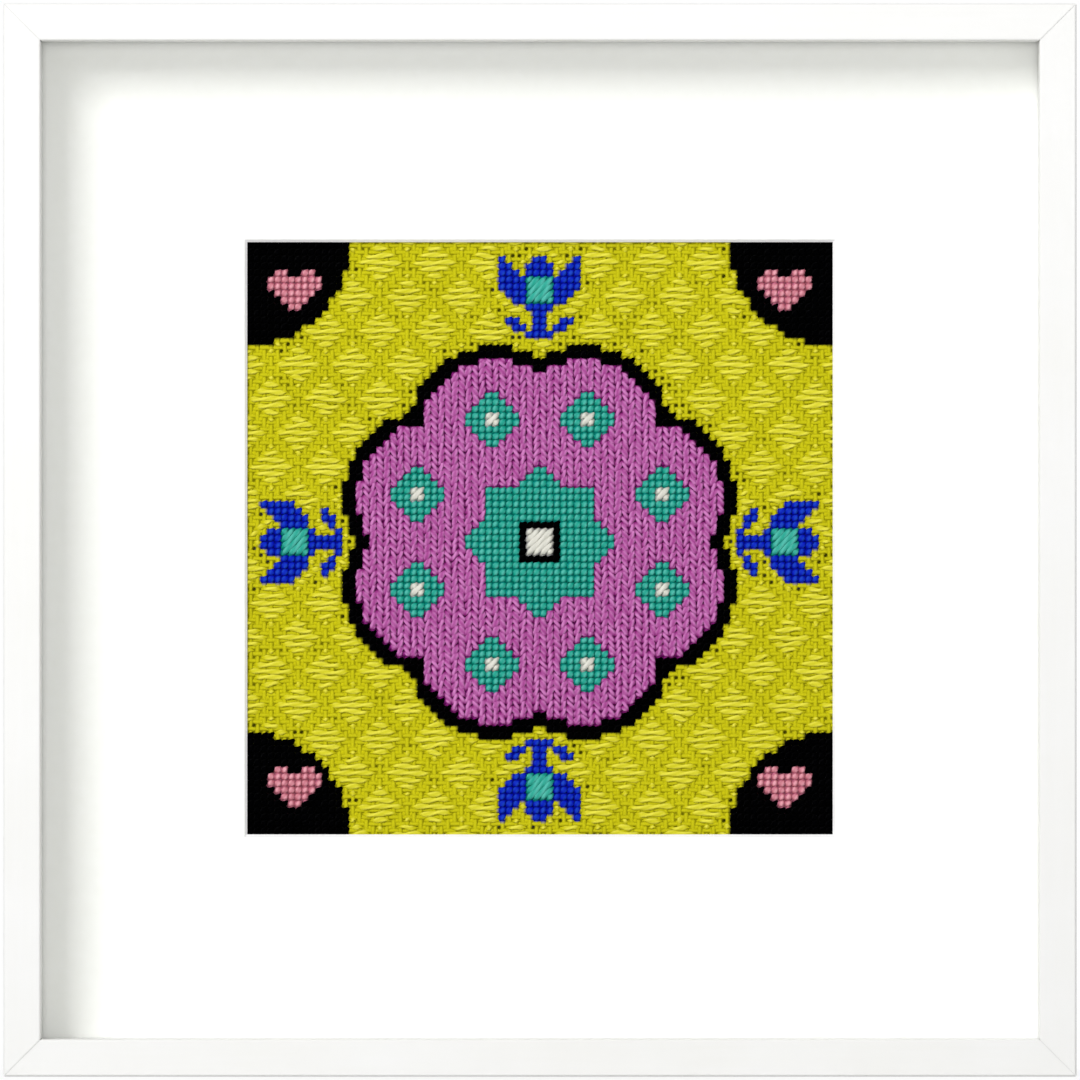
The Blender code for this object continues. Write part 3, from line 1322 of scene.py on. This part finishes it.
@dataclass
class KnitField(Stitchwork):
    """The orchid field in knitting stitch: columns two threads wide, of arrowheads that point up.

    Attributes:
        lay: How a slanted stitch lies.
        rise: Threads that a full stitch climbs.
        rings: Rings along a stitch.
    """

    lay: Lay = Lay(0.36, 0.12, 0.30, dive=(-0.02, -0.02), lead=0.62, narrowing=(0.04, 0.04),
                   inset=0.0, wander=0.04, ply_depth=0.34, sides=7)
    rise: int = 2
    rings: int = 7

    def stitches(self) -> tuple[Array, Array]:
        """First and last hole of every stitch.

        In an even column the yarn slants from the lower left hole to the apex, and in an odd one from
        the lower right. A stitch whose upper crossing isn't orchid climbs one thread only, and the
        lowest in each column gets a short one below it.
        """
        orchid = self.design.cells == Area.ORCHID
        column, row = np.nonzero(orchid)
        above = orchid[column, np.minimum(row + 1, self.gauge.stitched[1] - 1)]
        below = orchid[column, np.maximum(row - 1, 0)]
        even = column % 2 == 0
        foot = np.where(even, column, column + 1)
        apex = np.where(even, column + 1, column)
        climb = np.where(above, self.rise, 1)
        start = np.stack([foot, row], axis=1)
        end = np.stack([apex, row + climb], axis=1)
        short = above & ~below
        start = np.concatenate([start, start[short]])
        end = np.concatenate([end, np.stack([apex, row + 1], axis=1)[short]])
        return start * 1.0, end * 1.0

    def build(self) -> list[bpy.types.Object]:
        """The field as one piece."""
        rng = np.random.default_rng(SEED + 1)
        tubes = yarn_tubes(*self.stitches(), self.rings, self.lay, rng)
        return [self.worked("knit_field", [tubes], YARNS["orchid"].material())]


@dataclass
class TentWork(Stitchwork):
    """The motifs in tent stitch, each stitch slanting up to the right over one crossing.

    Attributes:
        lay: How a stitch lies.
        rings: Rings along a stitch.
    """

    lay: Lay = Lay(0.42, 0.19, 0.30, dive=(0.0, 0.0), lead=0.62, narrowing=(0.45, 0.45),
                   inset=0.10, wander=0.03, ply_depth=0.12, sides=7)
    rings: int = 6

    def piece(self, area: Area, yarn: str, rng: np.random.Generator) -> bpy.types.Object:
        """All the tent stitches of one colour."""
        start = np.argwhere(self.design.cells == area) * 1.0
        tubes = yarn_tubes(start, start + 1, self.rings, self.lay, rng)
        return self.worked("tent_" + yarn, [tubes], YARNS[yarn].material())

    def build(self) -> list[bpy.types.Object]:
        """One piece for each colour."""
        rng = np.random.default_rng(SEED + 2)
        colours = ((Area.BLACK, "black"), (Area.TEAL, "teal"), (Area.BLUE, "blue"), (Area.PINK, "pink"))
        return [self.piece(area, yarn, rng) for area, yarn in colours]


@dataclass
class SatinSquares(Stitchwork):
    """Small squares of slanted satin stitch, in the star, the lozenges and the tulips.

    Attributes:
        lay: How a stitch lies.
        rings_each: Rings for each thread of a stitch's slant.
    """

    lay: Lay = Lay(0.40, 0.22, 0.45, lead=0.8, narrowing=(0.6, 0.6), wander=0.02, sides=8)
    rings_each: int = 4

    def square(self, square: SatinSquare, rng: np.random.Generator) -> list[Surface]:
        """One square's stitches: for each offset d from its diagonal, one over side - |d| threads."""
        corner = np.array([[square.u, square.v]]) * 1.0
        stitches = []
        for offset in range(1 - square.side, square.side):
            right, up = max(offset, 0), max(-offset, 0)
            start = corner + np.array([right, up])
            end = corner + np.array([square.side - up, square.side - right])
            rings = END_RINGS + self.rings_each * (square.side - abs(offset))
            stitches.append(yarn_tubes(start, end, rings, self.lay, rng))
        return stitches

    def piece(self, area: Area, yarn: str, rng: np.random.Generator) -> bpy.types.Object:
        """All the squares of one colour."""
        batches = []
        for square in self.design.satin:
            if square.area == area:
                batches += self.square(square, rng)
        return self.worked("satin_" + yarn, batches, YARNS[yarn].material())

    def build(self) -> list[bpy.types.Object]:
        """The cream squares of the medallion and the teal ones of the tulips."""
        rng = np.random.default_rng(SEED + 3)
        colours = ((Area.CREAM_SATIN, "cream"), (Area.TEAL_SATIN, "teal"))
        return [self.piece(area, yarn, rng) for area, yarn in colours]


@dataclass
class BoxFrame:
    """The four white rails, with the glue lines in their mitres.

    Attributes:
        nodes: The CAD nodes by name.
        lowest: Lowest corner of the frame.
        highest: Highest corner.
        face: Width of a rail's face.
        ledge: Width of the rabbet's ledge.
        ledge_y: Y of the ledge.
        set_back: How far the glue lies below the faces.
        film: Thickness of the glue, just under the mitre's gap.
        filler: Colour of the glue, a little greyer than the paint.
    """

    nodes: dict[str, bpy.types.Object]
    lowest: Vector
    highest: Vector
    face: float
    ledge: float
    ledge_y: float
    set_back: float = 0.0002
    film: float = 0.00028
    filler: Colour = (0.68, 0.68, 0.67)

    def dress_rails(self) -> None:
        """White paint, its grain along each rail."""
        for name, along in (("rail_top", 0), ("rail_bottom", 0), ("rail_left", 2), ("rail_right", 2)):
            dress(self.nodes[name], PaintedWood("paint_" + name, along=along).material())

    def glue_lines(self) -> bpy.types.Object:
        """An L-shaped film in each mitre: the rail's section carried across the gap.

        The section is drawn in the mitre's plane, whose points are as far along the rail's width as
        they are along its length.
        """
        back = self.set_back
        front_y, rear_y = self.lowest.y + back, self.highest.y - back
        inner, step = self.face - back, self.face - self.ledge - back
        section = [(back, front_y), (inner, front_y), (inner, self.ledge_y - back),
                   (step, self.ledge_y - back), (step, rear_y), (back, rear_y)]
        films = []
        for x_edge, x_sign in ((self.lowest.x, 1), (self.highest.x, -1)):
            for z_edge, z_sign in ((self.lowest.z, 1), (self.highest.z, -1)):
                outline = np.array([(x_edge + x_sign * s, y, z_edge + z_sign * s) for s, y in section])
                across = np.array([x_sign, 0.0, -z_sign]) / math.sqrt(2)
                if x_sign * z_sign > 0:
                    outline = outline[::-1]
                films.append(swept_profile(outline, -across * self.film / 2, across * self.film))
        piece = joined(films).to_object("mitre_glue", smooth=False)
        return dress(piece, PaintedWood("filler", self.filler, self.filler).material())

    def build(self) -> list[bpy.types.Object]:
        """Dresses the rails and makes the glue lines."""
        self.dress_rails()
        return [self.glue_lines()]


@dataclass
class BackingTabs:
    """The hardboard backing and the bent steel tabs that hold it in the rabbet.

    Attributes:
        nodes: The CAD nodes by name.
        rabbet: Half the rabbet's width.
        height: Height of the frame's middle.
        board_y: Y of the board's back.
        reach: How far a tab lies over the board.
        bite: How far it goes into the rail.
        width: A tab's width.
        thickness: Of the sheet steel.
        spacing: From the middle of a rail to each of its two tabs.
        clear: Between the board and the tab that lies on it.
        drop: How far behind the board the tab leaves the rail.
        landing: Share of its reach at which it comes down on the board.
        upturn: How far its free end turns up.
        turned: Share of its reach that turns up.
        grid: Points across and along a tab.
    """

    nodes: dict[str, bpy.types.Object]
    rabbet: float
    height: float
    board_y: float
    reach: float = 0.013
    bite: float = 0.0025
    width: float = 0.007
    thickness: float = 0.0004
    spacing: float = 0.075
    clear: float = 0.0001
    drop: float = 0.0014
    landing: float = 0.7
    upturn: float = 0.0006
    turned: float = 0.25
    grid: tuple[int, int] = (7, 25)

    def tab(self) -> Surface:
        """One tab at the middle of the foot, lying along +Z.

        s runs from the rail to the free end. The lift over the board falls from drop to 0 as a
        smoothstep up to the landing, and rises by upturn as another over the last share. The outline
        is straight until the last half width, which is a half round with its very tip cut off.
        """
        across, along = self.grid
        s = np.linspace(-self.bite, self.reach, along)
        radius = self.width / 2
        past = np.clip((s - (self.reach - radius)) / radius, 0.0, 0.995)
        half = radius * np.sqrt(1 - past ** 2)
        down = self.drop * (1 - smoothstep(s / (self.landing * self.reach)))
        up = self.upturn * smoothstep((s / self.reach - (1 - self.turned)) / self.turned)
        x = np.linspace(-1.0, 1.0, across)[:, None] * half[None, :]
        y = np.broadcast_to(self.board_y + self.clear + (down + up), x.shape)
        z = np.broadcast_to(s, x.shape)
        front = np.stack([x, y, z], axis=-1)
        back = front + np.array([0.0, self.thickness, 0.0])
        return closed_grid(front, back)

    def tabs(self) -> bpy.types.Object:
        """Two tabs on each side, turned about the frame's middle."""
        made = []
        for turns in range(4):
            cosine, sine = round(math.cos(turns * math.pi / 2)), round(math.sin(turns * math.pi / 2))
            for shift in (-self.spacing, self.spacing):
                tab = self.tab()
                x, y, z = tab.points.T
                x, z = x + shift, z - self.rabbet
                turned = [cosine * x + sine * z, y, cosine * z - sine * x + self.height]
                tab.points = np.stack(turned, axis=1)
                made.append(tab)
        return dress(joined(made).to_object("backing_tabs"), Steel().material())

    def build(self) -> list[bpy.types.Object]:
        """Dresses the board and makes the tabs."""
        dress(self.nodes["backing"], Hardboard().material())
        return [self.tabs()]


@dataclass
class Studio:
    """Floor, soft light and camera.

    Attributes:
        middle: Middle of the frame's face.
        picture_side: Height of what the camera frames at the face.
        distance: From the camera to the face.
        sensor: Width of the camera's sensor in millimetres.
        view_depth: How far the camera sees.
        key_direction: From the face towards the key light.
        key_distance: To the key light.
        key_size: Its side.
        key_power: In watts.
        front_direction: From the face towards the broad front light.
        front_power: Its strength in watts for each square metre.
        front_angle: Its apparent size in radians.
        fill: Brightness of the world as a light.
        backdrop: Its brightness as the camera sees it, which the floor fades to.
        floor_half: Half the floor's side.
        floor_light: Brightness of the floor as the camera sees it.
        floor_fill: Brightness of the floor for the light that it throws back.
        fade: Distances from the origin between which the floor fades to the backdrop.
    """

    middle: Vector
    picture_side: float
    distance: float = 9.0
    sensor: float = 36.0
    view_depth: float = 50.0
    key_direction: tuple[float, float, float] = (-0.53, -1.0, 0.55)
    key_distance: float = 3.2
    key_size: float = 1.25
    key_power: float = 65.5
    front_direction: tuple[float, float, float] = (0.0, -1.0, 0.03)
    front_power: float = 0.68
    front_angle: float = 0.14
    fill: float = 0.5
    backdrop: float = 1.0
    floor_half: float = 8.0
    floor_light: float = 0.88
    floor_fill: float = 0.60
    fade: tuple[float, float] = (-0.25, 0.2)

    @staticmethod
    def stand(data: bpy.types.ID, place: Vector, turn: Iterable[float]) -> bpy.types.Object:
        """A camera or light at a place, turned by Euler angles."""
        made = bpy.data.objects.new(data.name, data)
        made.location = place
        made.rotation_euler = turn
        bpy.context.scene.collection.objects.link(made)
        return made

    @staticmethod
    def away_from(direction: Vector) -> Euler:
        """The turn of a light that shines away from where a direction points."""
        return direction.to_track_quat("Z", "Y").to_euler()

    def camera(self) -> None:
        """A long lens square to the panel, so that the recess shows almost no side walls."""
        data = bpy.data.cameras.new("camera")
        data.sensor_width = self.sensor
        data.lens = self.sensor * self.distance / self.picture_side
        data.clip_end = self.view_depth
        place = self.middle + Vector((0, -self.distance, 0))
        bpy.context.scene.camera = self.stand(data, place, (math.pi / 2, 0, 0))

    def key_light(self) -> None:
        """A soft square light from the upper left."""
        data = bpy.data.lights.new("key", "AREA")
        data.size = self.key_size
        data.energy = self.key_power
        direction = Vector(self.key_direction).normalized()
        self.stand(data, self.middle + direction * self.key_distance, self.away_from(direction))

    def front_light(self) -> None:
        """A broad light from ahead, which keeps the recess and the holes between stitches open."""
        data = bpy.data.lights.new("front", "SUN")
        data.energy = self.front_power
        data.angle = self.front_angle
        self.stand(data, Vector(), self.away_from(Vector(self.front_direction)))

    def world(self) -> None:
        """An even white surround, a little brighter to the camera than as a light."""
        world = bpy.data.worlds.new("studio")
        world.use_nodes = True
        tree = world.node_tree
        seen = tree.nodes.new("ShaderNodeLightPath")
        level = tree.nodes.new("ShaderNodeMapRange")
        level.inputs["To Min"].default_value = self.fill
        level.inputs["To Max"].default_value = self.backdrop
        tree.links.new(seen.outputs["Is Camera Ray"], level.inputs["Value"])
        tree.links.new(level.outputs[0], tree.nodes["Background"].inputs["Strength"])
        tree.nodes["Background"].inputs["Color"].default_value = (1, 1, 1, 1)
        bpy.context.scene.world = world

    def floor(self) -> None:
        """A plain pale floor that fades to the backdrop with the distance from the origin."""
        half = self.floor_half
        corners = np.array([(-half, -half, 0), (half, -half, 0), (half, half, 0), (-half, half, 0)])
        made = Surface(corners, [np.array([[0, 1, 2, 3]])]).to_object("floor", smooth=False)
        graph = Graph("floor")
        seen = graph.node("LightPath", "Is Camera Ray")
        away = graph.node("VectorMath", "Value", {"operation": "LENGTH"}, Vector=graph.place())
        faded = graph.math("MULTIPLY", seen, graph.ranged(away, *self.fade))
        near = graph.blend(seen, (self.floor_fill,) * 3, (self.floor_light,) * 3)
        graph.set(
            Base_Color=graph.blend(faded, near, (0.0, 0.0, 0.0)),
            Roughness=0.95,
            Specular_IOR_Level=0.0,
            Emission_Color=(1.0, 1.0, 1.0),
            Emission_Strength=graph.math("MULTIPLY", faded, self.backdrop),
        )
        made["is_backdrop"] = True
        dress(made, graph.material)

    def build(self) -> None:
        """Sets the stage."""
        self.camera()
        self.key_light()
        self.front_light()
        self.world()
        self.floor()
        settings = bpy.context.scene.view_settings
        settings.view_transform = "Standard"
        settings.look = "None"


@dataclass
class Panel:
    """The whole framed needlepoint, built round the CAD nodes.

    Attributes:
        nodes: The CAD nodes by name.
        clear: Room between the backing and the canvas sheet.
        sheet_thickness: Of the canvas sheet.
        canvas_depth: From the sheet's face to the canvas threads' mid-plane.
        picture_margin: Bare edge round the frame in the picture, as a share of its width.
    """

    nodes: dict[str, bpy.types.Object]
    clear: float = 0.0001
    sheet_thickness: float = 0.00025
    canvas_depth: float = 0.0011
    picture_margin: float = 7 / 1073

    def studio(self) -> None:
        """The camera and light, fitted to the frame."""
        lowest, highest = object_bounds()
        middle = (lowest + highest) / 2
        middle.y = lowest.y
        Studio(middle, (highest.x - lowest.x) * (1 + self.picture_margin)).build()

    def card(self, beyond: float) -> Card:
        """The mat's finish, fitted to its window, whose corners alone have |x| less than beyond."""
        corners = [vertex.co for vertex in self.nodes["mat"].data.vertices]
        sides = [corner.x for corner in corners if abs(corner.x) < beyond]
        ends = [corner.z for corner in corners if abs(corner.x) < beyond]
        middle = ((max(sides) + min(sides)) / 2, (max(ends) + min(ends)) / 2)
        return Card(middle, ((max(sides) - min(sides)) / 2, (max(ends) - min(ends)) / 2))

    def framing(self) -> None:
        """The rails, the mat and the backing."""
        low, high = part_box("rail_left")
        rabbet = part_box("mat")[1].x
        lowest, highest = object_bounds()
        face = high.x - low.x
        ledge = face - (highest.x - rabbet)
        rails = BoxFrame(self.nodes, lowest, highest, face, ledge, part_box("mat")[0].y)
        tabs = BackingTabs(self.nodes, rabbet, (lowest.z + highest.z) / 2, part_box("backing")[1].y)
        seat(rails.build())
        dress(self.nodes["mat"], self.card(rabbet - face).material())
        seat(tabs.build())

    def needlework(self) -> None:
        """The canvas with all its stitches, in the place of the CAD's flat sheet."""
        low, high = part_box("needlepoint")
        sheet_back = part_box("backing")[0].y - self.clear
        sheet_front = sheet_back - self.sheet_thickness
        gauge = Gauge(height=(low.z + high.z) / 2, plane=sheet_front - self.canvas_depth)
        design = Design(gauge)
        ground = DarnedGround(gauge, design)
        canvas = Canvas(gauge, design, sheet_front, sheet_back, ground.pulled_holes())
        sheet, *on_it = canvas.build() + ground.build()
        for work in (KnitField, TentWork, SatinSquares):
            on_it += work(gauge, design).build()
        seat([sheet, *on_it])
        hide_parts("needlepoint")


def main() -> None:
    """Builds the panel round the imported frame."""
    logging.basicConfig(level=logging.INFO, format="%(name)s: %(message)s")
    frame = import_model()
    panel = Panel(frame["nodes"])
    panel.studio()
    panel.framing()
    panel.needlework()


if __name__ == "__main__":
    main()
